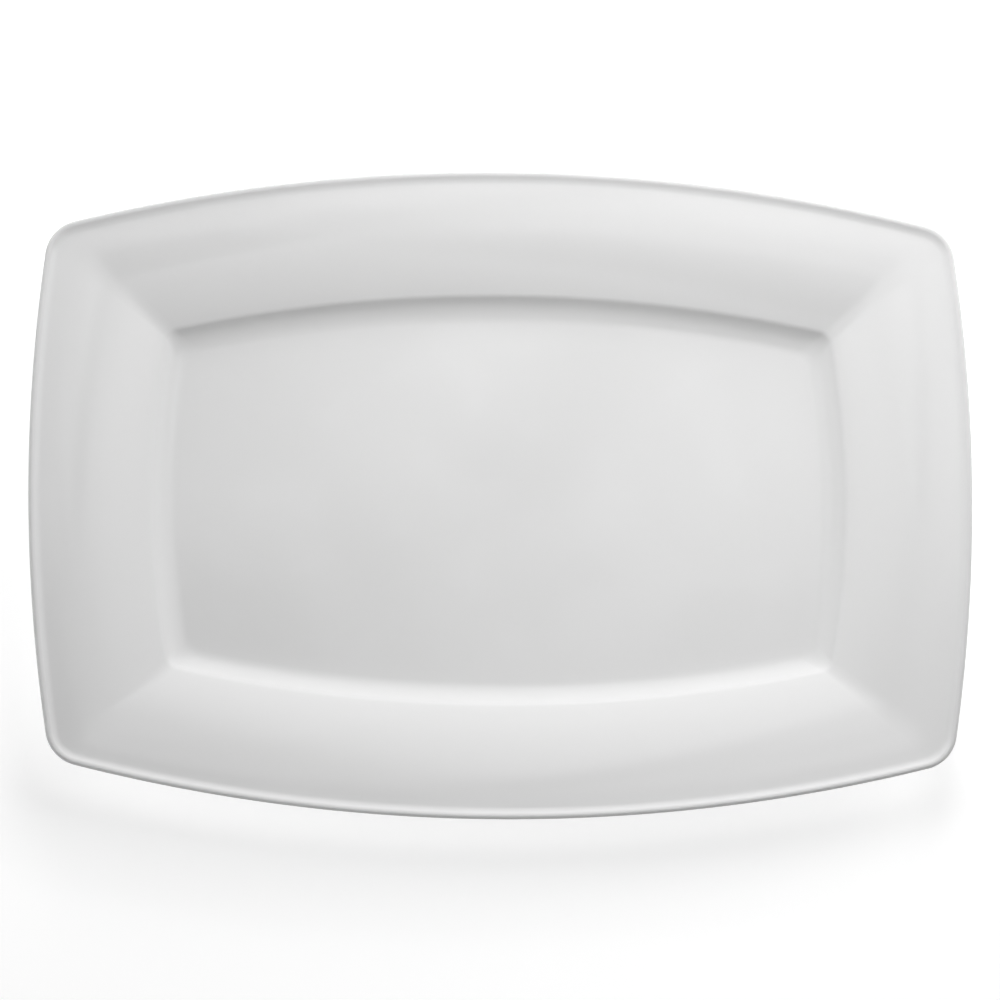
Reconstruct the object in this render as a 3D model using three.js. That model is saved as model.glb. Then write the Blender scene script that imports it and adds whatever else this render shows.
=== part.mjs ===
// A serving platter of glazed porcelain: a rectangle with bowed sides and rounded corners, a wide
// rim that slopes up from the well in four mitred faces to an upturned lip, and a foot ring below.
//
// It is pressed from one lump of clay and leaves the kiln as one piece. Nothing on it moves, and
// nothing comes off. What it is made of does change, and each of those bodies is a solid here:
//   porcelain_body  the fired clay, which is bare only on the foot ring's bearing face
//   outer_glaze     the glass coat over the well, rim, lip and underside, down to the foot ring
//   base_glaze      the glass coat on the recessed base inside the foot ring
// The foot ring is wiped clean of glaze before firing, and that bare band parts the two coats.
//
// Millimetres, with +Z up and +X along the length. The origin is under the platter's centre, on
// the surface that it stands on.

import * as THREE from "three";
import { mergeVertices } from "three/addons/utils/BufferGeometryUtils.js";

// The outline over the lip
const length = 330;
const width = 230.5;
const longSideRadius = 605;
const shortSideRadius = 607;
const cornerRadius = 13.5;

// The well's outline, at the crease where its wall meets the rim
const wellLength = 244.7;
const wellWidth = 147.5;
const wellLongSideRadius = 520;
const wellShortSideRadius = 330;
const wellCornerRadius = 4.5;

// The well's wall, which curves up out of the flat floor and is steepest just under the crease
const wallReach = 10;
const wallSlopeDegrees = 54;
const creaseRadius = 4;
const floorCornerRadius = 8;
const floorThickness = 5;

// The rim, which is domed: it is steeper at the crease than at the foot of the lip
const rimInnerSlopeDegrees = 23;
const rimOuterSlopeDegrees = 3.5;
const rimThickness = 5;

// The lip, which turns up, then rolls over an inner shoulder and an outer edge
const lipReach = 2.5;
const lipSlopeDegrees = 38;
const shoulderRadius = 2;
const edgeRadius = 0.95;

// The foot ring. The recess inside it is footHeight deep
const footInset = 2.5;
const footCornerRadius = 14;
const footWidth = 4;
const footHeight = 3.2;
const footDraftDegrees = 10;
const footOuterFillet = 5;
const footInnerFillet = 1.8;
const footEdgeRadius = 0.6;

// The glaze, which stops glazeLineHeight up the foot ring's flanks
const glazeThickness = 0.3;
const glazeLineHeight = 1;

// How finely the curves are divided: a half side and a corner in plan, then arcs of the section
const shortSideSteps = 4;
const cornerSteps = 4;
const longSideSteps = 6;
const wallSteps = 3;
const creaseSteps = 1;
const rimSteps = 4;
const lipSteps = 2;
const shoulderSteps = 2;
const edgeTopSteps = 2;
const edgeUnderSteps = 2;
const footFilletSteps = 2;
const footEdgeSteps = 1;

// Colours and finishes
const glazeColour = 0xf0f0ef;
const glazeRoughness = 0.08;
const biscuitColour = 0xe6e2da;
const biscuitRoughness = 0.75;

const halfTurn = Math.PI;
const quarterTurn = halfTurn / 2;
const radians = THREE.MathUtils.degToRad;
const { lerp } = THREE.MathUtils;

// Outlines. Each is a bowed rectangle, symmetrical about both axes.

function outlineOf(fullLength, fullWidth, longRadius, shortRadius, corner) {
  return {
    halfLength: fullLength / 2,
    halfWidth: fullWidth / 2,
    longRadius,
    shortRadius,
    corner,
  };
}

function grown(outline, by) {
  const entries = Object.entries(outline).map(([key, value]) => [key, value + by]);
  return Object.fromEntries(entries);
}

function between(inner, outer, share) {
  const entries = Object.entries(inner).map(([key, value]) => [key, lerp(value, outer[key], share)]);
  return Object.fromEntries(entries);
}

// The centre of a corner arc: the point at one distance from a and another from b, out to the right
// of the line from a to b.
function meetingPoint(a, distanceFromA, b, distanceFromB) {
  const apart = a.distanceTo(b);
  const along = (distanceFromA ** 2 - distanceFromB ** 2 + apart ** 2) / (2 * apart);
  const aside = Math.sqrt(distanceFromA ** 2 - along ** 2);
  const direction = b.clone().sub(a).normalize();
  const right = new THREE.Vector2(direction.y, -direction.x);
  return a.clone().addScaledVector(direction, along).addScaledVector(right, aside);
}

function arcPoints(centre, radius, fromAngle, toAngle, steps) {
  return Array.from({ length: steps }, (_, i) => {
    const angle = lerp(fromAngle, toAngle, i / steps);
    return new THREE.Vector2(Math.cos(angle), Math.sin(angle)).multiplyScalar(radius).add(centre);
  });
}

// A quarter of the outline, from the +X axis round to the +Y axis: half a short side, a corner and
// half a long side. The three arcs are tangent where they meet.
function quarterPoints({ halfLength, halfWidth, longRadius, shortRadius, corner }) {
  const shortCentre = new THREE.Vector2(halfLength - shortRadius, 0);
  const longCentre = new THREE.Vector2(0, halfWidth - longRadius);
  const cornerCentre = meetingPoint(longCentre, longRadius - corner, shortCentre, shortRadius - corner);
  const cornerStart = cornerCentre.clone().sub(shortCentre).angle();
  const cornerEnd = cornerCentre.clone().sub(longCentre).angle();
  return [
    ...arcPoints(shortCentre, shortRadius, 0, cornerStart, shortSideSteps),
    ...arcPoints(cornerCentre, corner, cornerStart, cornerEnd, cornerSteps),
    ...arcPoints(longCentre, longRadius, cornerEnd, quarterTurn, longSideSteps),
    new THREE.Vector2(0, halfWidth),
  ];
}

function ringPoints(outline) {
  const quarter = quarterPoints(outline);
  const fromX = quarter.slice(0, -1);
  const fromY = quarter.slice(1).toReversed();
  const mirrored = (points, xSign, ySign) => points.map((p) => new THREE.Vector2(xSign * p.x, ySign * p.y));
  return [
    ...fromX,
    ...mirrored(fromY, -1, 1),
    ...mirrored(fromX, -1, -1),
    ...mirrored(fromY, 1, -1),
  ];
}

// Stations. Each is one ring of the surface: its outline, its height, and the lean of the surface's
// normal there, which is 0 facing up, a quarter turn facing outwards and a half turn facing down.
// A station with no outline is the point on the axis where a skin closes.

function centre(height, lean) {
  return { outline: null, height, lean };
}

// The station that lies a depth below this one, along its normal.
function sunk({ outline, height, lean }, depth) {
  return {
    outline: outline && grown(outline, -depth * Math.sin(lean)),
    height: height - depth * Math.cos(lean),
    lean,
  };
}

// How an arc of the section runs: the reach outwards and the rise of each of its steps from where
// it began. A hollow arc has a negative radius.
function arcRun(radius, fromLean, toLean, steps) {
  return Array.from({ length: steps }, (_, i) => {
    const lean = lerp(fromLean, toLean, (i + 1) / steps);
    return {
      reach: radius * (Math.sin(lean) - Math.sin(fromLean)),
      rise: radius * (Math.cos(lean) - Math.cos(fromLean)),
      lean,
    };
  });
}

// Stations along an arc that keeps its width all the way round the platter.
function evenArc(start, radius, toLean, steps) {
  return arcRun(radius, start.lean, toLean, steps).map(({ reach, rise, lean }) => ({
    outline: grown(start.outline, reach),
    height: start.height + rise,
    lean,
  }));
}

// Stations along an arc that is on its way from an inner outline to an outer one. The section is the
// one in the middle of a short side, and elsewhere its reach grows or shrinks with the outlines.
function spreadArc(start, inner, outer, radius, toLean, steps) {
  const fullReach = outer.halfLength - inner.halfLength;
  const reachBefore = start.outline.halfLength - inner.halfLength;
  return arcRun(radius, start.lean, toLean, steps).map(({ reach, rise, lean }) => ({
    outline: between(inner, outer, (reachBefore + reach) / fullReach),
    height: start.height + rise,
    lean,
  }));
}

const last = (stations) => stations[stations.length - 1];

// The section, from the middle of the floor out over the lip and back under to the foot ring

const wallLean = -radians(wallSlopeDegrees);
const rimInnerLean = -radians(rimInnerSlopeDegrees);
const rimOuterLean = -radians(rimOuterSlopeDegrees);
const lipLean = -radians(lipSlopeDegrees);
const draft = radians(footDraftDegrees);
const flankLean = quarterTurn + draft;

const lipBand = edgeRadius - shoulderRadius * Math.sin(lipLean) + lipReach;
const edgeOutline = outlineOf(length, width, longSideRadius, shortSideRadius, cornerRadius);
const rimOutline = grown(edgeOutline, -lipBand);
const wellOutline = outlineOf(
  wellLength,
  wellWidth,
  wellLongSideRadius,
  wellShortSideRadius,
  wellCornerRadius,
);
const floorOutline = { ...grown(wellOutline, -wallReach), corner: floorCornerRadius };
const footOutline = { ...grown(wellOutline, -footInset), corner: footCornerRadius };

// The arcs of the section take the radii that carry them across the reach that they have.
const creaseReach = creaseRadius * (Math.sin(rimInnerLean) - Math.sin(wallLean));
const wallRadius = (wallReach - creaseReach) / -Math.sin(wallLean);
const rimReach = rimOutline.halfLength - wellOutline.halfLength;
const rimRadius = rimReach / (Math.sin(rimOuterLean) - Math.sin(rimInnerLean));
const lipRadius = lipReach / (Math.sin(rimOuterLean) - Math.sin(lipLean));

const floorTop = footHeight + floorThickness;
const floorEdge = { outline: floorOutline, height: floorTop, lean: 0 };
const wall = spreadArc(floorEdge, floorOutline, wellOutline, -wallRadius, wallLean, wallSteps);
const crease = spreadArc(last(wall), floorOutline, wellOutline, creaseRadius, rimInnerLean, creaseSteps);
const rim = spreadArc(last(crease), wellOutline, rimOutline, rimRadius, rimOuterLean, rimSteps);
const lip = evenArc(last(rim), -lipRadius, lipLean, lipSteps);
const shoulder = evenArc(last(lip), shoulderRadius, 0, shoulderSteps);
const edgeTop = evenArc(last(shoulder), edgeRadius, quarterTurn, edgeTopSteps);
const edgeUnder = evenArc(last(edgeTop), edgeRadius, lipLean + halfTurn, edgeUnderSteps);

// The underside follows the rim and lip a thickness below, which tapers from the crease to the lip.
// The lip is as thick as its shoulder and edge make it.
const lipThickness = shoulderRadius * (1 - Math.cos(lipLean)) + edgeRadius * (1 + Math.cos(lipLean));

function underside(station, thickness) {
  const below = sunk(station, thickness);
  return { ...below, lean: station.lean + halfTurn };
}

const rimStations = [last(crease), ...rim];
const rimUnderside = rimStations.map((station, i) =>
  underside(station, lerp(rimThickness, lipThickness, i / rimSteps)),
);
const lipUnderside = lip.slice(0, -1).map((station) => underside(station, lipThickness));

// The foot ring's flanks lean by the draft, so the ring is narrowest where it stands.
function outerFlank(height) {
  return { outline: grown(footOutline, height * Math.tan(draft)), height, lean: flankLean };
}

function innerFlank(height) {
  const inset = footWidth + height * Math.tan(draft);
  return { outline: grown(footOutline, -inset), height, lean: -flankLean };
}

// The outer fillet carries the flank into the slope of the rim's underside. The flank is as high as
// it takes for that slope to run on into the underside below the crease.
const underCrease = rimUnderside[0];
const outerFilletRun = last(arcRun(-footOuterFillet, flankLean, underCrease.lean, footFilletSteps));
const underSlope = Math.tan(-rimInnerLean);
const underReach = footInset - rimThickness * Math.sin(rimInnerLean);
const outerFlankTop =
  (underCrease.height - outerFilletRun.rise - underSlope * (underReach - outerFilletRun.reach)) /
  (1 - underSlope * Math.tan(draft));
const outerFillet = evenArc(outerFlank(outerFlankTop), -footOuterFillet, underCrease.lean, footFilletSteps);

const outerCoat = [
  centre(floorTop, 0),
  floorEdge,
  ...wall,
  ...crease,
  ...rim,
  ...lip,
  ...shoulder,
  ...edgeTop,
  ...edgeUnder,
  ...lipUnderside.toReversed(),
  ...rimUnderside.toReversed(),
  ...outerFillet.toReversed(),
  outerFlank(outerFlankTop),
  outerFlank(glazeLineHeight),
];

// The base, from the glaze line on the foot ring's inner flank to the middle of the recess
const innerFilletRun = last(arcRun(-footInnerFillet, -flankLean, -halfTurn, footFilletSteps));
const innerFlankTop = innerFlank(footHeight - innerFilletRun.rise);
const baseCoat = [
  innerFlank(glazeLineHeight),
  innerFlankTop,
  ...evenArc(innerFlankTop, -footInnerFillet, -halfTurn, footFilletSteps),
  centre(footHeight, halfTurn),
];

// The clay under the coats, and the bare foot between them, whose lower edges are rounded
const underGlaze = (station) => sunk(station, glazeThickness);
const outerClay = outerCoat.map(underGlaze);
const baseClay = baseCoat.map(underGlaze);
const bareEdgeHeight = footEdgeRadius * (1 - Math.sin(draft)) - glazeThickness * Math.sin(draft);
const outerBareEdge = underGlaze(outerFlank(bareEdgeHeight));
const innerBareEdge = underGlaze(innerFlank(bareEdgeHeight));
const bareFoot = [
  outerBareEdge,
  ...evenArc(outerBareEdge, footEdgeRadius, halfTurn, footEdgeSteps),
  ...evenArc(innerBareEdge, footEdgeRadius, -halfTurn, footEdgeSteps).toReversed(),
  innerBareEdge,
];

// The points of a station, which are a ring of them or the one at the centre
function stationPoints({ outline, height }) {
  const points = outline ? ringPoints(outline) : [new THREE.Vector2()];
  return points.map(({ x, y }) => new THREE.Vector3(x, y, height));
}

// The triangles between two stations. Each four-sided facet is parted along its shorter diagonal.
function strip(here, beyond) {
  const triangles = [];
  for (let j = 0; j < Math.max(here.length, beyond.length); j++) {
    const a = here[j % here.length];
    const b = beyond[j % beyond.length];
    const c = beyond[(j + 1) % beyond.length];
    const d = here[(j + 1) % here.length];
    if (a === d) triangles.push(a, b, c);
    else if (b === c) triangles.push(a, b, d);
    else if (a.distanceTo(c) < b.distanceTo(d)) triangles.push(a, b, c, a, c, d);
    else triangles.push(a, b, d, b, c, d);
  }
  return triangles;
}

// The sheet of surface through a row of stations. It faces up where the row runs outwards.
function sheet(stations) {
  const rings = stations.map(stationPoints);
  return rings.slice(1).flatMap((beyond, i) => strip(rings[i], beyond));
}

const turnedOver = (triangles) => triangles.toReversed();

// A closed solid, sewn together from sheets that share their end stations
function solid(...sheets) {
  const geometry = mergeVertices(new THREE.BufferGeometry().setFromPoints(sheets.flat()));
  geometry.computeVertexNormals();
  return geometry;
}

function named(name, geometry, material) {
  const mesh = new THREE.Mesh(geometry, material);
  mesh.name = name;
  return mesh;
}

const glaze = new THREE.MeshStandardMaterial({
  color: glazeColour,
  roughness: glazeRoughness,
  metalness: 0,
});
const biscuit = new THREE.MeshStandardMaterial({
  color: biscuitColour,
  roughness: biscuitRoughness,
  metalness: 0,
});

function porcelainBody() {
  const foot = [last(outerClay), ...bareFoot, baseClay[0]];
  return named("porcelain_body", solid(sheet(outerClay), sheet(foot), sheet(baseClay)), biscuit);
}

function outerGlaze() {
  const rim = sheet([last(outerCoat), last(outerClay)]);
  return named("outer_glaze", solid(sheet(outerCoat), rim, turnedOver(sheet(outerClay))), glaze);
}

function baseGlaze() {
  const rim = sheet([baseClay[0], baseCoat[0]]);
  return named("base_glaze", solid(sheet(baseCoat), rim, turnedOver(sheet(baseClay))), glaze);
}

const platter = new THREE.Group();
platter.name = "serving_platter";
platter.add(porcelainBody(), outerGlaze(), baseGlaze());

export default platter;
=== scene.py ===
import math
from typing import NamedTuple

import bmesh
import bpy
from bpy.props import FloatProperty, FloatVectorProperty, IntProperty, PointerProperty
from bpy.types import Operator, Panel, PropertyGroup
from mathutils import Matrix, Vector


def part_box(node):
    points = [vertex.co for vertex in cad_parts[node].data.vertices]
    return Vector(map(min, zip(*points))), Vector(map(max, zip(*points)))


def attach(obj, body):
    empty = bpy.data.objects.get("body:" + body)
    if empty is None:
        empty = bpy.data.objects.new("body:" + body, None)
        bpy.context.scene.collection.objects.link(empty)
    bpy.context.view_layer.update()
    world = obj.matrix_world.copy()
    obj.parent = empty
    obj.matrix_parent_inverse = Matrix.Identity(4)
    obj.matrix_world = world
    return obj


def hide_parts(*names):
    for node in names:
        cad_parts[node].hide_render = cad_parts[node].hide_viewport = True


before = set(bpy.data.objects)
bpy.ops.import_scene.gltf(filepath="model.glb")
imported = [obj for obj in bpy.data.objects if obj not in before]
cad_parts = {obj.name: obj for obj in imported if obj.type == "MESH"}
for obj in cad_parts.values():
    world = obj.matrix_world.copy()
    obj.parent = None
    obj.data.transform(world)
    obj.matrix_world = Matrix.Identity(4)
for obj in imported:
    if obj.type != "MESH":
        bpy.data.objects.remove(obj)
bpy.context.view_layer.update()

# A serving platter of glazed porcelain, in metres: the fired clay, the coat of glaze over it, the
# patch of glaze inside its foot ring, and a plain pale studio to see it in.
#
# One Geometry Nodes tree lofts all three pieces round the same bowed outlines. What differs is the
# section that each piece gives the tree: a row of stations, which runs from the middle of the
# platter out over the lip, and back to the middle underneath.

bl_info = {
    "name": "Porcelain Platter",
    "version": (1, 0, 0),
    "blender": (4, 5, 0),
    "location": "View3D > Sidebar > Platter",
    "description": "Builds a glazed porcelain serving platter and a studio to see it in",
    "category": "Add Mesh",
}

BODY = "root"
GLAZE_LOW, GLAZE_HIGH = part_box("outer_glaze")

HALF_TURN = math.pi
QUARTER_TURN = HALF_TURN / 2
QUARTERS = 4.0


# Sizes and colours that a user would change

def distance(name, description, default):
    return FloatProperty(
        name=name, description=description, default=default, min=0, precision=5, unit="LENGTH"
    )


def slope(name, description, degrees):
    return FloatProperty(
        name=name, description=description, default=math.radians(degrees), subtype="ANGLE"
    )


def share(name, description, default):
    return FloatProperty(
        name=name, description=description, default=default, min=0, max=1, subtype="FACTOR"
    )


def amount(name, description, default):
    return FloatProperty(name=name, description=description, default=default, min=0)


def count(name, description, default):
    return IntProperty(name=name, description=description, default=default, min=1)


def colour(name, description, default):
    return FloatVectorProperty(
        name=name, description=description, default=default, size=3, min=0, max=1, subtype="COLOR"
    )


class PlatterOutlines(PropertyGroup):
    """The bowed outlines that every piece is lofted round"""

    length: distance("Length", "End to end, over the lip", GLAZE_HIGH.x - GLAZE_LOW.x)
    width: distance("Width", "Side to side, over the lip", GLAZE_HIGH.y - GLAZE_LOW.y)
    long_side_radius: distance("Long side radius", "How the long sides bow", 0.605)
    short_side_radius: distance("Short side radius", "How the short sides bow", 0.607)
    corner_radius: distance("Corner radius", "Over the lip", 0.0135)
    well_length: distance("Well length", "End to end, at the crease", 0.2447)
    well_width: distance("Well width", "Side to side, at the crease", 0.1475)
    well_long_side_radius: distance("Well long side radius", "How the crease bows there", 0.52)
    well_short_side_radius: distance("Well short side radius", "How the crease bows there", 0.33)
    well_corner_radius: distance("Well corner radius", "At the crease", 0.0045)
    wall_reach: distance("Wall reach", "From the crease in to the flat floor", 0.01)
    floor_corner_radius: distance("Floor corner radius", "Where the wall runs into the floor", 0.008)
    foot_inset: distance("Foot inset", "From the crease in to the foot of the foot ring", 0.0025)
    foot_corner_radius: distance("Foot corner radius", "Where the foot ring stands", 0.014)


class PlatterSection(PropertyGroup):
    """The sizes of the section through the platter"""

    wall_slope: slope("Wall slope", "The wall of the well, just under the crease", 54)
    crease_radius: distance("Crease radius", "Where the wall turns out into the rim", 0.004)
    floor_thickness: distance("Floor thickness", "Of the clay and both coats", 0.005)
    rim_inner_slope: slope("Rim inner slope", "The rim, just outside the crease", 23)
    rim_outer_slope: slope("Rim outer slope", "The rim, at the foot of the lip", 3.5)
    rim_thickness: distance("Rim thickness", "At the crease, from where it tapers", 0.005)
    lip_reach: distance("Lip reach", "Across the hollow where the lip turns up", 0.0025)
    lip_slope: slope("Lip slope", "The inner flank of the lip, where it is steepest", 38)
    shoulder_radius: distance("Shoulder radius", "The inner side of the lip's top", 0.002)
    edge_radius: distance("Edge radius", "The outer side of the lip", 0.00095)
    foot_width: distance("Foot width", "The foot ring, before its edges are rounded", 0.004)
    foot_height: distance("Foot height", "The depth of the recess inside the ring", 0.0032)
    foot_draft: slope("Foot draft", "How far the ring's flanks lean", 10)
    foot_outer_fillet: distance("Foot outer fillet", "From the ring to the rim's underside", 0.005)
    foot_inner_fillet: distance("Foot inner fillet", "From the ring to the base", 0.0018)
    foot_edge_radius: distance("Foot edge radius", "The edges that the platter stands on", 0.0006)
    glaze_thickness: distance("Glaze thickness", "Of either coat", 0.0003)
    glaze_line: distance("Glaze line", "How far up the foot ring the glaze stops", 0.001)
    bead: distance("Bead", "The rounding of the glaze's edge at the glaze line", 0.00022)


class PlatterDetail(PropertyGroup):
    """How finely the curves are divided, and how unevenly the glaze has run"""

    short_side_steps: count("Short side steps", "In half a short side", 20)
    corner_steps: count("Corner steps", "In a corner", 18)
    long_side_steps: count("Long side steps", "In half a long side", 34)
    arc_step: slope("Arc step", "The most that the section turns from one station to the next", 6)
    floor_rings: count("Floor rings", "Across the flat floor and the base", 12)
    rim_rings: count("Rim rings", "Across the rim", 20)
    wave_height: distance("Wave height", "How far the free surface of the glaze swells", 0.00004)
    wave_size: distance("Wave size", "From one swell of the glaze to the next", 0.07)
    seed: amount("Seed", "Picks the pattern of the swells", 3)


class GlazeFinish(PropertyGroup):
    """The white glaze and the clear glass of its surface"""

    colour: colour("Colour", "Where the coat has its usual depth", (0.80, 0.80, 0.80))
    # A darker colour over tight edges such as the lip's crest: painted shade that holds their highlight
    # under white
    edge_shade_colour: colour("Edge shade colour", "Over tight edges, where the finish paints shade", (0.75, 0.75, 0.75))
    pooled_colour: colour("Pooled colour", "In hollows, where the coat has run deep", (0.79, 0.79, 0.79))
    speck_colour: colour("Speck colour", "The few specks of iron in the glaze", (0.45, 0.42, 0.38))
    roughness: share("Roughness", "Of the white under the glass", 0.4)
    coat_roughness: share("Coat roughness", "Of the glass itself", 0.04)


class ClayFinish(PropertyGroup):
    """The bare fired clay of the foot ring"""

    colour: colour("Colour", "Fired clay", (0.76, 0.745, 0.715))
    pale_colour: colour("Pale colour", "Its paler grains", (0.83, 0.82, 0.80))
    wear_colour: colour("Wear colour", "Grey rubbed in where the ring stands", (0.47, 0.455, 0.43))
    roughness: share("Roughness", "Of the clay", 0.78)


class StudioSettings(PropertyGroup):
    """The camera, the table and the light"""

    tilt_south: slope("Tilt to the front", "How far the camera stands off the vertical, towards -Y", 11)
    tilt_west: slope("Tilt to the left", "How far the camera stands off the vertical, towards -X", 2.4)
    roll: slope("Roll", "How far the camera is turned about its own line of sight", -0.175)
    camera_distance: distance("Camera distance", "From the point that it looks at", 10)
    view_width: distance("View width", "What the picture takes in at that distance", 0.34915)
    aim: FloatVectorProperty(
        name="Aim",
        description="The point that the camera looks at",
        default=(-0.00022, -0.0018, 0.0227),
        size=3,
        unit="LENGTH",
        subtype="TRANSLATION",
    )
    table_size: distance("Table size", "Along one side", 60)
    table_glow: share("Table glow", "How bright the room makes the table where it lies open", 0.58)
    table_shelter: distance("Table shelter", "How far off a thing still dims the table's glow", 0.022)
    table_colour: colour("Table colour", "The white sheet of the table", (0.8, 0.8, 0.8))
    light_level: amount("Light level", "Scales the lamps above the table", 1)
    ceiling_height: distance("Ceiling height", "From the table up to what the glaze reflects", 0.45)
    ceiling_size: distance("Ceiling size", "Along one side", 2.4)
    patch_size: distance("Patch size", "Of the paler and darker patches of the ceiling", 0.12)
    patch_contrast: share("Patch contrast", "How far the patches depart from plain white", 0.5)
    patch_seed: amount("Patch seed", "Picks the pattern of the patches", 3)
    under_power: amount("Under power", "Watts of the lamp below the table", 1.7)


# Sums in node trees

class Number:
    """A number that a node tree works out. A sum written with it becomes the tree's Math nodes."""

    def __init__(self, tree, socket):
        self.tree = tree
        self.socket = socket

    def __add__(self, other):
        return maths("ADD", self, other)

    def __radd__(self, other):
        return maths("ADD", self, other)

    def __sub__(self, other):
        return maths("SUBTRACT", self, other)

    def __rsub__(self, other):
        return maths("MULTIPLY_ADD", self, -1.0, other)

    def __mul__(self, other):
        return maths("MULTIPLY", self, other)

    def __rmul__(self, other):
        return maths("MULTIPLY", self, other)

    def __truediv__(self, other):
        return maths("DIVIDE", self, other)

    def __rtruediv__(self, other):
        return maths("MULTIPLY", maths("POWER", self, -1.0), other)

    def __neg__(self):
        return maths("MULTIPLY", self, -1.0)

    def above(self, other):
        """1 where this is more than the other, and 0 elsewhere"""
        return maths("GREATER_THAN", self, other)

    def clamped(self):
        return maths("ADD", self, 0.0, use_clamp=True)

    def root(self):
        return maths("SQRT", self)

    def sine(self):
        return maths("SINE", self)

    def cosine(self):
        return maths("COSINE", self)

    def sign(self):
        return maths("SIGN", self)

    def floored(self):
        return maths("FLOOR", self)

    def rounded(self):
        return maths("ROUND", self)


def plug(tree, value, socket):
    """Links a Number or a socket into another socket, or sets a plain value there."""
    if isinstance(value, Number):
        tree.links.new(value.socket, socket)
    elif isinstance(value, bpy.types.NodeSocket):
        tree.links.new(value, socket)
    else:
        socket.default_value = value


def maths(operation, first, *others, use_clamp=False):
    tree = first.tree
    node = tree.nodes.new("ShaderNodeMath")
    node.operation = operation
    node.use_clamp = use_clamp
    for value, socket in zip((first, *others), node.inputs):
        plug(tree, value, socket)
    return Number(tree, node.outputs["Value"])


def mixed(start, end, portion):
    return (end - start) * portion + start


def heading_of(x, y):
    return maths("ARCTAN2", y, x)


def add_node(tree, kind, settings=None, **inputs):
    """Adds a node and fills its inputs, which are named as on the node, with _ for each space."""
    node = tree.nodes.new(kind)
    for key, value in (settings or {}).items():
        setattr(node, key, value)
    for key, value in inputs.items():
        plug(tree, value, node.inputs[key.replace("_", " ")])
    return node


def lay_out(tree):
    """Sets the nodes in columns, each to the right of all that feed it."""
    column_width, row_height = 190, 170
    feeds = {node: set() for node in tree.nodes}
    for link in tree.links:
        feeds[link.to_node].add(link.from_node)
    columns = {}

    def column_of(node):
        if node not in columns:
            columns[node] = max((column_of(source) + 1 for source in feeds[node]), default=0)
        return columns[node]

    filled = {}
    for node in tree.nodes:
        column = column_of(node)
        row = filled.get(column, 0)
        filled[column] = row + 1
        node.location = (column * column_width, -row * row_height)


# Outlines, in the loft tree. Each is a bowed rectangle, symmetrical about both axes.

def outline_of(full_length, full_width, long_radius, short_radius, corner):
    return {
        "half_length": full_length / 2,
        "half_width": full_width / 2,
        "long_radius": long_radius,
        "short_radius": short_radius,
        "corner": corner,
    }


def grown(outline, by):
    return {key: value + by for key, value in outline.items()}


def between(inner, outer, portion):
    return {key: mixed(inner[key], outer[key], portion) for key in inner}


def corner_centre(long_centre_y, from_long, short_centre_x, from_short):
    """The centre of a corner arc, from how far it lies from the centres of the two sides' arcs. The
    long side's centre is on the Y axis, and the short side's on the X axis."""
    apart = (short_centre_x * short_centre_x + long_centre_y * long_centre_y).root()
    along = (from_long * from_long - from_short * from_short + apart * apart) / (apart * 2.0)
    aside = (from_long * from_long - along * along).root()
    x = (short_centre_x * along - long_centre_y * aside) / apart
    y = long_centre_y - (long_centre_y * along + short_centre_x * aside) / apart
    return x, y


def outline_point(outline, column, short_steps, corner_steps, long_steps):
    """The point of an outline at a column of the loft. A quarter runs from the X axis to the Y axis:
    half a short side, a corner and half a long side. The other three quarters mirror it."""
    quarter_steps = short_steps + corner_steps + long_steps
    quarter = (column / quarter_steps).floored()
    along = column - quarter * quarter_steps
    backwards = maths("MODULO", quarter, 2.0)
    step = mixed(along, quarter_steps - along, backwards)
    quarter_middle = (quarter + 0.5) * QUARTER_TURN

    short_centre_x = outline["half_length"] - outline["short_radius"]
    long_centre_y = outline["half_width"] - outline["long_radius"]
    corner_x, corner_y = corner_centre(
        long_centre_y,
        outline["long_radius"] - outline["corner"],
        short_centre_x,
        outline["short_radius"] - outline["corner"],
    )
    corner_start = heading_of(corner_x - short_centre_x, corner_y)
    corner_end = heading_of(corner_x, corner_y - long_centre_y)
    past_short = step - short_steps
    past_corner = past_short - corner_steps
    angle = (
        corner_start * (step / short_steps).clamped()
        + (corner_end - corner_start) * (past_short / corner_steps).clamped()
        + (QUARTER_TURN - corner_end) * (past_corner / long_steps).clamped()
    )

    def of_this_arc(short_side, corner, long_side):
        return mixed(mixed(short_side, corner, past_short.above(0.0)), long_side, past_corner.above(0.0))

    centre_x = of_this_arc(short_centre_x, corner_x, 0.0)
    centre_y = of_this_arc(0.0, corner_y, long_centre_y)
    radius = of_this_arc(outline["short_radius"], outline["corner"], outline["long_radius"])
    x = (centre_x + radius * angle.cosine()) * quarter_middle.cosine().sign()
    y = (centre_y + radius * angle.sine()) * quarter_middle.sine().sign()
    return x, y


# A track says how far out a station lies: 0, 1 and 2 are the outlines of the floor, the well and the
# rim, and what lies between two of them is partly one and partly the other. The foot's outline
# stands by itself. Inside the floor's outline, the outline shrinks to a point at CENTRE.
CENTRE, FLOOR, WELL, RIM, FOOT = -1.0, 0.0, 1.0, 2.0, 3.0

# What the loft carries over from the section: its bends, for pooled glaze in hollows and painted shade
# over edges, and where the glaze may swell
POOL_AND_EDGE_SHADE = "pool_and_edge_shade"
LOOSE = "loose"

LOFT_TREE = "Platter loft"
WELD_DISTANCE = 2e-6
SHARP_ANGLE = math.radians(40)

OUTLINE_INPUTS = (
    "Length",
    "Width",
    "Long side radius",
    "Short side radius",
    "Corner radius",
    "Well length",
    "Well width",
    "Well long side radius",
    "Well short side radius",
    "Well corner radius",
    "Wall reach",
    "Floor corner radius",
    "Foot inset",
    "Foot corner radius",
)
DETAIL_INPUTS = ("Wave height", "Wave size", "Seed")
STEP_INPUTS = ("Short side steps", "Corner steps", "Long side steps")
LIP_BAND_INPUT = "Lip band"


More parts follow.
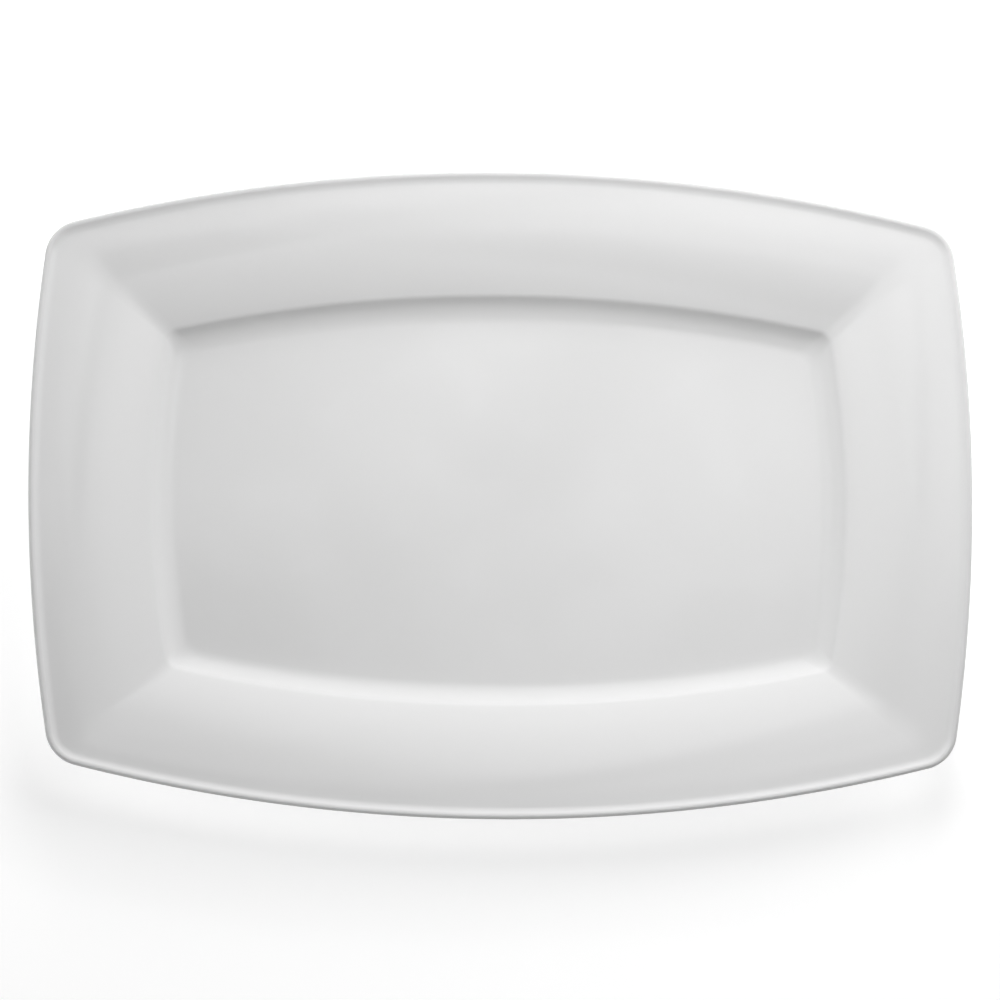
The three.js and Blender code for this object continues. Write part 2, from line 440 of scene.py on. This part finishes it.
def outline_on_track(given, track):
    edge = outline_of(
        given["Length"],
        given["Width"],
        given["Long side radius"],
        given["Short side radius"],
        given["Corner radius"],
    )
    well = outline_of(
        given["Well length"],
        given["Well width"],
        given["Well long side radius"],
        given["Well short side radius"],
        given["Well corner radius"],
    )
    rim = grown(edge, -given[LIP_BAND_INPUT])
    floor = {**grown(well, -given["Wall reach"]), "corner": given["Floor corner radius"]}
    foot = {**grown(well, -given["Foot inset"]), "corner": given["Foot corner radius"]}
    on_top = between(between(floor, well, track.clamped()), rim, (track - WELL).clamped())
    return between(on_top, foot, track.above((RIM + FOOT) / 2))


def make_loft_tree():
    """A tree that lofts a section round the outlines. The section is a mesh of bare points, whose X
    is the track, Y is the growth beyond the outline there and Z is the height."""
    tree = bpy.data.node_groups.new(LOFT_TREE, "GeometryNodeTree")
    tree.is_modifier = True
    face = tree.interface
    face.new_socket("Section", in_out="INPUT", socket_type="NodeSocketGeometry")
    for name in (*OUTLINE_INPUTS, LIP_BAND_INPUT, *DETAIL_INPUTS):
        face.new_socket(name, in_out="INPUT", socket_type="NodeSocketFloat")
    for name in STEP_INPUTS:
        face.new_socket(name, in_out="INPUT", socket_type="NodeSocketInt")
    face.new_socket("Material", in_out="INPUT", socket_type="NodeSocketMaterial")
    face.new_socket("Solid", in_out="OUTPUT", socket_type="NodeSocketGeometry")
    sockets = add_node(tree, "NodeGroupInput").outputs
    section = sockets["Section"]
    number_inputs = (*OUTLINE_INPUTS, LIP_BAND_INPUT, *DETAIL_INPUTS, *STEP_INPUTS)
    given = {name: Number(tree, sockets[name]) for name in number_inputs}
    steps = [given[name] for name in STEP_INPUTS]

    # A flat grid, with a column for each step round the platter and a row for each station
    around = (steps[0] + steps[1] + steps[2]) * QUARTERS
    sizes = add_node(tree, "GeometryNodeAttributeDomainSize", {"component": "MESH"}, Geometry=section)
    stations = Number(tree, sizes.outputs["Point Count"])
    grid = add_node(
        tree,
        "GeometryNodeMeshGrid",
        Size_X=around,
        Size_Y=stations - 1.0,
        Vertices_X=around + 1.0,
        Vertices_Y=stations,
    )
    position = add_node(tree, "GeometryNodeInputPosition").outputs["Position"]
    spot = add_node(tree, "ShaderNodeSeparateXYZ", Vector=position).outputs
    column = (Number(tree, spot["X"]) + around / 2.0).rounded()
    row = (Number(tree, spot["Y"]) + (stations - 1.0) / 2.0).rounded()

    def of_section(kind, value):
        settings = {"data_type": kind, "domain": "POINT"}
        sample = add_node(
            tree, "GeometryNodeSampleIndex", settings, Geometry=section, Value=value, Index=row
        )
        return sample.outputs["Value"]

    def attribute(name):
        node = add_node(tree, "GeometryNodeInputNamedAttribute", {"data_type": "FLOAT"}, Name=name)
        return node.outputs["Attribute"]

    station_place = of_section("FLOAT_VECTOR", position)
    station = add_node(tree, "ShaderNodeSeparateXYZ", Vector=station_place).outputs
    track, growth, height = (Number(tree, station[axis]) for axis in "XYZ")
    x, y = outline_point(grown(outline_on_track(given, track), growth), column, *steps)
    out_from_centre = (track - CENTRE).clamped()
    place = add_node(
        tree, "ShaderNodeCombineXYZ", X=x * out_from_centre, Y=y * out_from_centre, Z=height
    )

    kept = grid.outputs["Mesh"]
    for name in (POOL_AND_EDGE_SHADE, LOOSE):
        store = add_node(
            tree,
            "GeometryNodeStoreNamedAttribute",
            {"data_type": "FLOAT", "domain": "POINT"},
            Geometry=kept,
            Name=name,
            Value=of_section("FLOAT", attribute(name)),
        )
        kept = store.outputs["Geometry"]
    lofted = add_node(tree, "GeometryNodeSetPosition", Geometry=kept, Position=place.outputs["Vector"])
    facing_out = add_node(tree, "GeometryNodeFlipFaces", Mesh=lofted.outputs["Geometry"])
    welded = add_node(
        tree, "GeometryNodeMergeByDistance", Geometry=facing_out.outputs["Mesh"], Distance=WELD_DISTANCE
    )

    # Slow swells in the free surface of the glaze, along its normal
    noise = add_node(
        tree,
        "ShaderNodeTexNoise",
        {"noise_dimensions": "4D"},
        W=given["Seed"],
        Scale=1.0 / given["Wave size"],
        Detail=1.0,
    )
    swell = (Number(tree, noise.outputs[0]) - 0.5) * 2.0 * given["Wave height"]
    lift = add_node(
        tree,
        "ShaderNodeVectorMath",
        {"operation": "SCALE"},
        Vector=add_node(tree, "GeometryNodeInputNormal").outputs["Normal"],
        Scale=swell * Number(tree, attribute(LOOSE)),
    )
    waved = add_node(
        tree,
        "GeometryNodeSetPosition",
        Geometry=welded.outputs["Geometry"],
        Offset=lift.outputs["Vector"],
    )
    smooth = add_node(tree, "GeometryNodeSetShadeSmooth", Geometry=waved.outputs["Geometry"])
    real = add_node(tree, "GeometryNodeRealizeInstances", Geometry=smooth.outputs["Geometry"])
    finished = add_node(
        tree, "GeometryNodeSetMaterial", Geometry=real.outputs["Geometry"], Material=sockets["Material"]
    )
    add_node(tree, "NodeGroupOutput", Solid=finished.outputs["Geometry"])
    lay_out(tree)
    return tree


# The section, as stations from the middle of the floor out over the lip and back underneath

class Station(NamedTuple):
    """One ring of a piece: its track, its growth beyond the outline there, its height, and its lean,
    which is 0 where the surface faces up, a quarter turn where it faces out and a half turn below."""

    track: float
    growth: float
    height: float
    lean: float


def sunk(station, depth):
    """The station that lies a depth below this one, along its normal"""
    return station._replace(
        growth=station.growth - depth * math.sin(station.lean),
        height=station.height - depth * math.cos(station.lean),
    )


def turned_under(station, thickness):
    return sunk(station, thickness)._replace(lean=station.lean + HALF_TURN)


def arc(start, radius, to_lean, steps, track_length=None):
    """Stations along an arc, after the one that it starts from. A hollow arc has a negative radius. An
    arc with a track length runs on along the track, and one without grows beyond the outline."""
    stations = []
    for i in range(1, steps + 1):
        lean = start.lean + (to_lean - start.lean) * i / steps
        reach = radius * (math.sin(lean) - math.sin(start.lean))
        rise = radius * (math.cos(lean) - math.cos(start.lean))
        track, growth = start.track, start.growth
        if track_length:
            track += reach / track_length
        else:
            growth += reach
        stations.append(Station(track, growth, start.height + rise, lean))
    return stations


class SectionPlan:
    """The stations of every surface of the platter"""

    def __init__(self, outlines, section, detail):
        self.outlines = outlines
        self.section = section
        self.detail = detail
        rolled_over = section.shoulder_radius * math.sin(section.lip_slope) + section.edge_radius
        self.lip_band = section.lip_reach + rolled_over
        self.outer_coat = self.over_the_top() + self.underneath()
        self.base_coat = self.inside_the_foot()
        self.outer_clay = self.under_glaze(self.outer_coat)
        self.base_clay = self.under_glaze(self.base_coat)
        self.bare_foot = self.between_the_coats()

    def turn(self, start, radius, to_lean, track_length=None):
        steps = max(2, math.ceil(abs(to_lean - start.lean) / self.detail.arc_step))
        return arc(start, radius, to_lean, steps, track_length)

    def flat(self, height, lean):
        """Rings from the centre to the floor's outline"""
        rings = self.detail.floor_rings
        tracks = [CENTRE + (FLOOR - CENTRE) * i / rings for i in range(rings + 1)]
        return [Station(track, 0, height, lean) for track in tracks]

    def over_the_top(self):
        section, outlines = self.section, self.outlines
        wall_lean, lip_lean = -section.wall_slope, -section.lip_slope
        inner_lean, outer_lean = -section.rim_inner_slope, -section.rim_outer_slope
        crease_reach = section.crease_radius * (math.sin(inner_lean) - math.sin(wall_lean))
        wall_radius = (outlines.wall_reach - crease_reach) / -math.sin(wall_lean)
        rim_reach = (outlines.length - outlines.well_length) / 2 - self.lip_band
        rim_radius = rim_reach / (math.sin(outer_lean) - math.sin(inner_lean))
        lip_radius = section.lip_reach / (math.sin(outer_lean) - math.sin(lip_lean))

        floor = self.flat(section.foot_height + section.floor_thickness, 0)
        wall = self.turn(floor[-1], -wall_radius, wall_lean, outlines.wall_reach)
        crease = self.turn(wall[-1], section.crease_radius, inner_lean, outlines.wall_reach)
        rim = arc(crease[-1], rim_radius, outer_lean, self.detail.rim_rings, rim_reach)
        lip = self.turn(rim[-1], -lip_radius, lip_lean)
        shoulder = self.turn(lip[-1], section.shoulder_radius, 0)
        edge = self.turn(shoulder[-1], section.edge_radius, lip_lean + HALF_TURN)
        self.rim, self.lip = [crease[-1], *rim], lip
        return [*floor, *wall, *crease, *rim, *lip, *shoulder, *edge]

    def underneath(self):
        """The underside of the lip and the rim, and the foot ring's outer flank down to the glaze
        line. The underside tapers from the crease to the lip, which is as thick as its top makes it."""
        section = self.section
        lip_cosine = math.cos(section.lip_slope)
        shoulder_drop = section.shoulder_radius * (1 - lip_cosine)
        lip_thickness = shoulder_drop + section.edge_radius * (1 + lip_cosine)
        lip = [turned_under(station, lip_thickness) for station in self.lip[:-1]]
        taper = (lip_thickness - section.rim_thickness) / self.detail.rim_rings
        thicknesses = [section.rim_thickness + taper * i for i in range(len(self.rim))]
        rim = [turned_under(station, thickness) for station, thickness in zip(self.rim, thicknesses)]
        top = self.outer_flank(self.outer_flank_top(rim[0]))
        fillet = self.turn(top, -section.foot_outer_fillet, rim[0].lean)
        return [*lip[::-1], *rim[::-1], *fillet[::-1], top, self.outer_flank(section.glaze_line)]

    def outer_flank_top(self, under_crease):
        """How high the foot ring's outer flank runs, for its fillet to meet the rim's underside"""
        section = self.section
        flank = self.outer_flank(0)
        fillet = arc(flank, -section.foot_outer_fillet, under_crease.lean, 1)[-1]
        under_slope, draft = math.tan(section.rim_inner_slope), math.tan(section.foot_draft)
        under_crease_inset = section.rim_thickness * math.sin(section.rim_inner_slope)
        under_reach = self.outlines.foot_inset + under_crease_inset
        drop = under_slope * (under_reach - fillet.growth)
        return (under_crease.height - fillet.height - drop) / (1 - under_slope * draft)

    def outer_flank(self, height):
        draft = self.section.foot_draft
        return Station(FOOT, height * math.tan(draft), height, QUARTER_TURN + draft)

    def inner_flank(self, height):
        draft = self.section.foot_draft
        inset = self.section.foot_width + height * math.tan(draft)
        return Station(FOOT, -inset, height, -QUARTER_TURN - draft)

    def inside_the_foot(self):
        """From the glaze line on the foot ring's inner flank to the middle of the base"""
        section = self.section
        fillet = arc(self.inner_flank(0), -section.foot_inner_fillet, -HALF_TURN, 1)[-1]
        top = self.inner_flank(section.foot_height - fillet.height)
        fillet = self.turn(top, -section.foot_inner_fillet, -HALF_TURN)
        base = self.flat(section.foot_height, HALF_TURN)
        return [self.inner_flank(section.glaze_line), top, *fillet, *base[::-1]]

    def under_glaze(self, stations):
        return [sunk(station, self.section.glaze_thickness) for station in stations]

    def between_the_coats(self):
        """The bare clay of the foot ring, whose lower edges are rounded"""
        section = self.section
        draft = math.sin(section.foot_draft)
        edge_height = section.foot_edge_radius * (1 - draft) - section.glaze_thickness * draft
        outer, inner = self.under_glaze([self.outer_flank(edge_height), self.inner_flank(edge_height)])
        outer_edge = [outer, *self.turn(outer, section.foot_edge_radius, HALF_TURN)]
        inner_edge = [inner, *self.turn(inner, section.foot_edge_radius, -HALF_TURN)]
        return outer_edge + inner_edge[::-1]

    def glaze_edge(self, line):
        """The rounded edge where a coat stops at the glaze line, from its surface in to the clay"""
        edge_lean = line.lean + math.copysign(QUARTER_TURN, line.lean)
        start = sunk(line._replace(lean=edge_lean), self.section.bead)._replace(lean=line.lean)
        return [start, *self.turn(start, self.section.bead, edge_lean)]

    def body_section(self):
        return self.outer_clay + self.bare_foot + self.base_clay

    def outer_glaze_section(self):
        edge = self.glaze_edge(self.outer_coat[-1])
        return self.outer_coat[:-1] + edge + self.outer_clay[::-1]

    def base_glaze_section(self):
        edge = self.glaze_edge(self.base_coat[0])
        return self.base_clay[::-1] + edge[::-1] + self.base_coat[1:]


def section_plan():
    scene = bpy.context.scene
    return SectionPlan(scene.platter_outlines, scene.platter_section, scene.platter_detail)


POOL_REACH = 0.0012


def pooling_and_edge_shade(stations):
    """How deep the glaze lies at each station, from -1 over a tight edge to 1 in a tight hollow"""
    pools = []
    for i, station in enumerate(stations):
        before, after = stations[max(i - 1, 0)], stations[min(i + 1, len(stations) - 1)]
        run = math.hypot(after.growth - before.growth, after.height - before.height)
        same_track = before.track == after.track
        bend = (after.lean - before.lean) / run if same_track and run > 0 else 0
        pools.append(max(-1, min(1, -bend * POOL_REACH)))
    return pools


# Pieces

def set_inputs(modifier, values):
    """Sets a modifier's inputs by the names that they have on its tree."""
    for item in modifier.node_group.interface.items_tree:
        if item.in_out == "INPUT" and item.name in values:
            modifier[item.identifier] = values[item.name]


def property_of(group, name):
    return getattr(group, name.lower().replace(" ", "_"))


def check_closed(piece):
    """Raises an error unless the piece is one closed skin that faces out."""
    skin = bmesh.new()
    skin.from_mesh(piece.data)
    open_edges = sum(not edge.is_manifold for edge in skin.edges)
    volume = skin.calc_volume(signed=True)
    skin.free()
    if open_edges or volume <= 0:
        raise RuntimeError(f"{piece.name} has {open_edges} open edges and a volume of {volume}")


def section_mesh(name, stations, loose):
    """The bare points that the loft tree reads, one for each station"""
    mesh = bpy.data.meshes.new(name)
    mesh.from_pydata([station[:3] for station in stations], [], [])
    for attribute, values in ((POOL_AND_EDGE_SHADE, pooling_and_edge_shade(stations)), (LOOSE, loose)):
        mesh.attributes.new(attribute, "FLOAT", "POINT").data.foreach_set("value", values)
    return mesh


def lofted_piece(name, stations, loose, material):
    """Lofts a section whose ends are both at the centre, and leaves a plain closed mesh."""
    scene = bpy.context.scene
    points = section_mesh(name, stations, loose)
    piece = bpy.data.objects.new(name, points)
    scene.collection.objects.link(piece)
    modifier = piece.modifiers.new("Loft", "NODES")
    modifier.node_group = bpy.data.node_groups.get(LOFT_TREE) or make_loft_tree()
    values = {name: property_of(scene.platter_outlines, name) for name in OUTLINE_INPUTS}
    values |= {name: property_of(scene.platter_detail, name) for name in DETAIL_INPUTS + STEP_INPUTS}
    values |= {LIP_BAND_INPUT: section_plan().lip_band, "Material": material}
    set_inputs(modifier, values)

    depsgraph = bpy.context.evaluated_depsgraph_get()
    solid = bpy.data.meshes.new_from_object(
        piece.evaluated_get(depsgraph), preserve_all_data_layers=True, depsgraph=depsgraph
    )
    piece.modifiers.remove(modifier)
    piece.data = solid
    bpy.data.meshes.remove(points)
    solid.name = name
    solid.set_sharp_from_angle(angle=SHARP_ANGLE)
    check_closed(piece)
    return piece


def stand_for(piece, node):
    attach(piece, BODY)
    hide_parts(node)


# Finishes. Sizes are in metres across the pattern, and depths in metres along the surface's normal.

GLASS_IOR = 1.5
DRIFT_SIZE, DRIFT_CONTRAST = 0.06, 0.5
SPECK_SPACING, SPECK_SHARE, SPECK_STRENGTH = 0.022, 0.008, 0.5
RIPPLE_SIZE, RIPPLE_DEPTH = 0.011, 0.00002
PEEL_SIZE, PEEL_DEPTH = 0.0022, 0.000004
GRAIN_SIZE, GRAIN_DEPTH = 0.0007, 0.00004
GRAIN_MIDDLE, GRAIN_CONTRAST = 0.45, 5.0
WEAR_SIZE, WEAR_HEIGHT, WEAR_STRENGTH = 0.006, 0.0004, 0.8
WEAR_MIDDLE, WEAR_CONTRAST = 0.42, 4.0


def new_material(name):
    """A material with nothing in its tree, and that tree"""
    material = bpy.data.materials.new(name)
    material.use_nodes = True
    tree = material.node_tree
    tree.nodes.clear()
    return material, tree


def opaque(rgb):
    return (*rgb, 1.0)


def object_place(tree):
    return add_node(tree, "ShaderNodeTexCoord").outputs["Object"]


def noise_of(tree, size, detail=2.0, roughness=0.5):
    node = add_node(
        tree,
        "ShaderNodeTexNoise",
        Vector=object_place(tree),
        Scale=1 / size,
        Detail=detail,
        Roughness=roughness,
    )
    return Number(tree, node.outputs[0])


def contrasted(noise, middle, contrast):
    """Noise drawn apart about its middle, which becomes 0"""
    return (noise - middle) * contrast


def blended(tree, portion, first, second):
    node = add_node(tree, "ShaderNodeMix", {"data_type": "RGBA", "clamp_factor": True})
    for index, value in ((0, portion), (6, first), (7, second)):
        plug(tree, value, node.inputs[index])
    return node.outputs[2]


def bumped(tree, height, depth, before=None):
    """A bump of a real depth in metres"""
    node = add_node(tree, "ShaderNodeBump", Height=height, Distance=depth)
    if before:
        plug(tree, before, node.inputs["Normal"])
    return node.outputs["Normal"]


def glaze_material():
    """White glaze: an even white under clear glass, thinner over edges and deeper in hollows"""
    finish = bpy.context.scene.platter_glaze
    material, tree = new_material("White glaze")
    # Negative over edges, where it paints shade, and positive in hollows, where the glaze has pooled
    pool_and_edge_shade = Number(tree, add_node(tree, "ShaderNodeAttribute", {"attribute_name": POOL_AND_EDGE_SHADE}).outputs["Fac"])

    # Drifts in the white, a hand's breadth across, then what has pooled, then painted shade over tight
    # edges that holds the lip's highlight under white
    drift = contrasted(noise_of(tree, DRIFT_SIZE, detail=3.0), 0.5, DRIFT_CONTRAST)
    deep = blended(tree, (pool_and_edge_shade + drift).clamped(), opaque(finish.colour), opaque(finish.pooled_colour))
    # Painted shade over tight edges, most of all along the lip's crest
    edge_shaded = blended(tree, (-(pool_and_edge_shade + drift)).clamped(), deep, opaque(finish.edge_shade_colour))
    specks = add_node(
        tree,
        "ShaderNodeTexVoronoi",
        {"feature": "F1"},
        Vector=object_place(tree),
        Scale=1 / SPECK_SPACING,
    )
    near_speck = 1.0 - (Number(tree, specks.outputs["Distance"]) / SPECK_SHARE).clamped()
    speckled = blended(tree, near_speck * SPECK_STRENGTH, edge_shaded, opaque(finish.speck_colour))

    # The glass ripples a little everywhere, and its surface is faintly peeled like an orange's
    ripple = bumped(tree, noise_of(tree, RIPPLE_SIZE, detail=1.0), RIPPLE_DEPTH)
    peel = bumped(tree, noise_of(tree, PEEL_SIZE, detail=1.0), PEEL_DEPTH, ripple)
    shader = add_node(
        tree,
        "ShaderNodeBsdfPrincipled",
        Base_Color=speckled,
        Roughness=finish.roughness,
        IOR=GLASS_IOR,
        Specular_IOR_Level=0.25,
        Coat_Weight=1.0,
        Coat_Roughness=finish.coat_roughness,
        Coat_IOR=GLASS_IOR,
        Coat_Normal=peel,
    )
    add_node(tree, "ShaderNodeOutputMaterial", Surface=shader.outputs["BSDF"])
    lay_out(tree)
    return material


def clay_material():
    """Bare porcelain clay: matt and finely gritty, with grey rubbed in where it stands"""
    finish = bpy.context.scene.platter_clay
    material, tree = new_material("Bare clay")
    grain = noise_of(tree, GRAIN_SIZE, detail=4.0, roughness=0.65)
    pale = contrasted(grain, GRAIN_MIDDLE, GRAIN_CONTRAST)
    grains = blended(tree, pale, opaque(finish.colour), opaque(finish.pale_colour))
    place = add_node(tree, "ShaderNodeSeparateXYZ", Vector=object_place(tree))
    standing = 1.0 - (Number(tree, place.outputs["Z"]) / WEAR_HEIGHT).clamped()
    patches = noise_of(tree, WEAR_SIZE, detail=4.0, roughness=0.6)
    rubbed = contrasted(patches, WEAR_MIDDLE, WEAR_CONTRAST).clamped() * standing * WEAR_STRENGTH
    worn = blended(tree, rubbed, grains, opaque(finish.wear_colour))
    shader = add_node(
        tree,
        "ShaderNodeBsdfPrincipled",
        Base_Color=worn,
        Roughness=finish.roughness,
        IOR=GLASS_IOR,
        Specular_IOR_Level=0.3,
        Normal=bumped(tree, grain, GRAIN_DEPTH),
    )
    add_node(tree, "ShaderNodeOutputMaterial", Surface=shader.outputs["BSDF"])
    lay_out(tree)
    return material


def seen_directly(tree):
    """1 for what the camera sees, outright or in a reflection, and 0 for what lights other things"""
    path = add_node(tree, "ShaderNodeLightPath").outputs
    camera, glossy = Number(tree, path["Is Camera Ray"]), Number(tree, path["Is Glossy Ray"])
    seen = maths("MAXIMUM", camera, glossy)
    return maths("MAXIMUM", seen, Number(tree, path["Is Transmission Ray"]))


def table_material():
    """A white table, which glows a little as the lit room would make it, but not where the platter
    covers it. From below it isn't there, so that the underside can be looked at."""
    studio = bpy.context.scene.platter_studio
    material, tree = new_material("White table")
    sheet = add_node(tree, "ShaderNodeBsdfDiffuse", Color=opaque(studio.table_colour))
    openness = add_node(tree, "ShaderNodeAmbientOcclusion", Distance=studio.table_shelter).outputs["AO"]
    # Painted light from the room, dimmed by occlusion near the platter into a painted contact shadow
    glow = add_node(
        tree,
        "ShaderNodeEmission",
        Color=(1.0, 1.0, 1.0, 1.0),
        Strength=Number(tree, openness) * studio.table_glow,
    )
    above = add_node(tree, "ShaderNodeAddShader")
    tree.links.new(sheet.outputs["BSDF"], above.inputs[0])
    tree.links.new(glow.outputs["Emission"], above.inputs[1])
    below = add_node(tree, "ShaderNodeBsdfTransparent")
    table = add_node(
        tree, "ShaderNodeMixShader", Fac=add_node(tree, "ShaderNodeNewGeometry").outputs["Backfacing"]
    )
    tree.links.new(above.outputs["Shader"], table.inputs[1])
    tree.links.new(below.outputs["BSDF"], table.inputs[2])
    add_node(tree, "ShaderNodeOutputMaterial", Surface=table.outputs["Shader"])
    lay_out(tree)
    return material


# The ceiling's noise: how much of it there is out to the sides, how far it is swirled, and the two
# levels of it that stand for the darkest and the palest patches
PATCH_SCALE, PATCH_SWIRL = 2.0, 0.6
DARK_PATCH, PALE_PATCH = 0.42, 0.58


def ceiling_material():
    """White, with soft patches that are a little paler and darker. They are small overhead, widen
    towards the sides and fade into the plain white of the room on the outer half of the ceiling."""
    studio = bpy.context.scene.platter_studio
    material, tree = new_material("Room above")
    place = object_place(tree)
    length = add_node(tree, "ShaderNodeVectorMath", {"operation": "LENGTH"}, Vector=place)
    away = Number(tree, length.outputs["Value"])
    narrowed = add_node(
        tree,
        "ShaderNodeVectorMath",
        {"operation": "SCALE"},
        Vector=place,
        Scale=1.0 / (away + studio.patch_size),
    )
    patches = add_node(
        tree,
        "ShaderNodeTexNoise",
        {"noise_dimensions": "4D"},
        Vector=narrowed.outputs["Vector"],
        W=studio.patch_seed,
        Scale=PATCH_SCALE,
        Detail=1.0,
        Distortion=PATCH_SWIRL,
    )
    paleness = (Number(tree, patches.outputs[0]) - DARK_PATCH) / (PALE_PATCH - DARK_PATCH)
    contrast = paleness.clamped() * 2.0 - 1.0
    inner_half = studio.ceiling_size / 4
    inside = (2.0 - away / inner_half).clamped()
    glow = add_node(
        tree,
        "ShaderNodeEmission",
        Color=(1.0, 1.0, 1.0, 1.0),
        Strength=contrast * inside * studio.patch_contrast + 1.0,
    )
    add_node(tree, "ShaderNodeOutputMaterial", Surface=glow.outputs["Emission"])
    lay_out(tree)
    return material


# The studio

# How far the camera sees, in its own distances from the platter
CAMERA_REACH = 3


def make_camera(studio):
    lean_back = Vector((-math.tan(studio.tilt_west), -math.tan(studio.tilt_south), 1)).normalized()
    right = Vector((0, 1, 0)).cross(lean_back).normalized()
    upright = Matrix((right, lean_back.cross(right), lean_back)).transposed()
    data = bpy.data.cameras.new("Camera")
    data.lens = data.sensor_width * studio.camera_distance / studio.view_width
    data.clip_end = studio.camera_distance * CAMERA_REACH
    camera = bpy.data.objects.new("Camera", data)
    camera.location = Vector(studio.aim) + lean_back * studio.camera_distance
    camera.rotation_euler = (upright @ Matrix.Rotation(studio.roll, 3, "Z")).to_euler()
    bpy.context.scene.collection.objects.link(camera)
    bpy.context.scene.camera = camera


class Lamp(NamedTuple):
    """A soft square lamp that faces the platter. Its bearing is measured from +Y towards +X, and its
    height is an angle above the table."""

    name: str
    bearing: float
    height: float
    distance: float
    size: float
    watts: float


# The lamps above the table, round the platter. None of them shows in the glaze.
LAMPS = (
    Lamp("top_lamp", 20, 60, 0.4, 0.3, 1.02),
    Lamp("back_lamp", 0, 22, 1.6, 0.8, 6.6),
    Lamp("back_left_lamp", 330, 20, 0.8, 0.5, 1.16),
    Lamp("back_right_lamp", 60, 20, 0.8, 0.5, 2.56),
    Lamp("left_lamp", 270, 22, 1.6, 0.8, 5.4),
    Lamp("front_lamp", 180, 12, 1.6, 0.8, 3.5),
)


def make_lamp(lamp):
    bearing, height = math.radians(lamp.bearing), math.radians(lamp.height)
    towards = Vector(
        (math.sin(bearing) * math.cos(height), math.cos(bearing) * math.cos(height), math.sin(height))
    )
    data = bpy.data.lights.new(lamp.name, "AREA")
    data.shape = "SQUARE"
    data.size = lamp.size
    data.energy = lamp.watts
    light = bpy.data.objects.new(lamp.name, data)
    light.location = towards * lamp.distance
    light.rotation_euler = towards.to_track_quat("Z", "Y").to_euler()
    light.visible_camera = False
    light.visible_glossy = False
    bpy.context.scene.collection.objects.link(light)
    return light


def make_sheet(name, size, height, material):
    """A level square sheet of the stage, which casts no shadow"""
    half = size / 2
    mesh = bpy.data.meshes.new(name)
    corners = [(-half, -half, 0), (half, -half, 0), (half, half, 0), (-half, half, 0)]
    mesh.from_pydata(corners, [], [(0, 1, 2, 3)])
    mesh.materials.append(material)
    sheet = bpy.data.objects.new(name, mesh)
    sheet.location.z = height
    sheet.visible_shadow = False
    bpy.context.scene.collection.objects.link(sheet)
    return sheet


def make_ceiling(studio):
    """The ceiling, which shows only in the glaze and lights nothing"""
    ceiling = make_sheet("ceiling", studio.ceiling_size, studio.ceiling_height, ceiling_material())
    ceiling.visible_camera = False
    ceiling.visible_diffuse = False
    ceiling.visible_transmission = False


def make_room():
    """A room that is white to the camera and in reflections, and that lights nothing else"""
    world = bpy.data.worlds.new("Room")
    world.use_nodes = True
    tree = world.node_tree
    tree.nodes.clear()
    bpy.context.scene.world = world
    background = add_node(
        tree, "ShaderNodeBackground", Color=(1.0, 1.0, 1.0, 1.0), Strength=seen_directly(tree)
    )
    add_node(tree, "ShaderNodeOutputWorld", Surface=background.outputs["Background"])
    lay_out(tree)


# Operators

class PLATTER_OT_clay_body(Operator):
    """Build the fired clay of the platter"""

    bl_idname = "platter.clay_body"
    bl_label = "Clay Body"

    def execute(self, context):
        stations = section_plan().body_section()
        body = lofted_piece("clay_body", stations, [0.0] * len(stations), clay_material())
        stand_for(body, "porcelain_body")
        return {"FINISHED"}


class PLATTER_OT_glaze(Operator):
    """Build the outer coat of glaze, and the patch of it inside the foot ring"""

    bl_idname = "platter.glaze"
    bl_label = "Glaze"

    def execute(self, context):
        plan = section_plan()
        material = glaze_material()
        stations = plan.outer_glaze_section()
        free = len(plan.outer_coat) - 1
        loose = [1.0] * free + [0.0] * (len(stations) - free)
        outer = lofted_piece("glaze_coat", stations, loose, material)
        stand_for(outer, "outer_glaze")

        stations = plan.base_glaze_section()
        free = len(plan.base_coat) - 1
        loose = [0.0] * (len(stations) - free) + [1.0] * free
        base = lofted_piece("base_glaze_coat", stations, loose, material)
        stand_for(base, "base_glaze")
        return {"FINISHED"}


class PLATTER_OT_studio(Operator):
    """Set up the camera, the table, the ceiling, the room and the lamps"""

    bl_idname = "platter.studio"
    bl_label = "Studio"

    def execute(self, context):
        studio = context.scene.platter_studio
        make_camera(studio)
        make_sheet("table", studio.table_size, 0, table_material())
        make_ceiling(studio)
        make_room()
        for lamp in LAMPS:
            make_lamp(lamp._replace(watts=lamp.watts * studio.light_level))
        make_lamp(Lamp("under_lamp", 0, height=-90, distance=0.6, size=0.6, watts=studio.under_power))
        context.scene.view_settings.view_transform = "Standard"
        return {"FINISHED"}


class PLATTER_PT_panel(Panel):
    """Lists the pieces of the platter and their sizes in the sidebar"""

    bl_idname = "PLATTER_PT_panel"
    bl_label = "Platter"
    bl_space_type = "VIEW_3D"
    bl_region_type = "UI"
    bl_category = "Platter"

    def draw(self, context):
        layout = self.layout
        for operator in OPERATORS:
            layout.operator(operator.bl_idname)
        for attribute, group in SETTINGS.items():
            column = layout.column(heading=group.__doc__)
            for name in group.__annotations__:
                column.prop(getattr(context.scene, attribute), name)


SETTINGS = {
    "platter_outlines": PlatterOutlines,
    "platter_section": PlatterSection,
    "platter_detail": PlatterDetail,
    "platter_glaze": GlazeFinish,
    "platter_clay": ClayFinish,
    "platter_studio": StudioSettings,
}
OPERATORS = (PLATTER_OT_clay_body, PLATTER_OT_glaze, PLATTER_OT_studio)
CLASSES = (*SETTINGS.values(), *OPERATORS, PLATTER_PT_panel)


def register():
    for cls in CLASSES:
        bpy.utils.register_class(cls)
    for attribute, group in SETTINGS.items():
        setattr(bpy.types.Scene, attribute, PointerProperty(type=group))


def unregister():
    for attribute in SETTINGS:
        delattr(bpy.types.Scene, attribute)
    for cls in reversed(CLASSES):
        bpy.utils.unregister_class(cls)


def main():
    register()
    bpy.ops.platter.clay_body()
    bpy.ops.platter.glaze()
    bpy.ops.platter.studio()


if __name__ == "__main__":
    main()
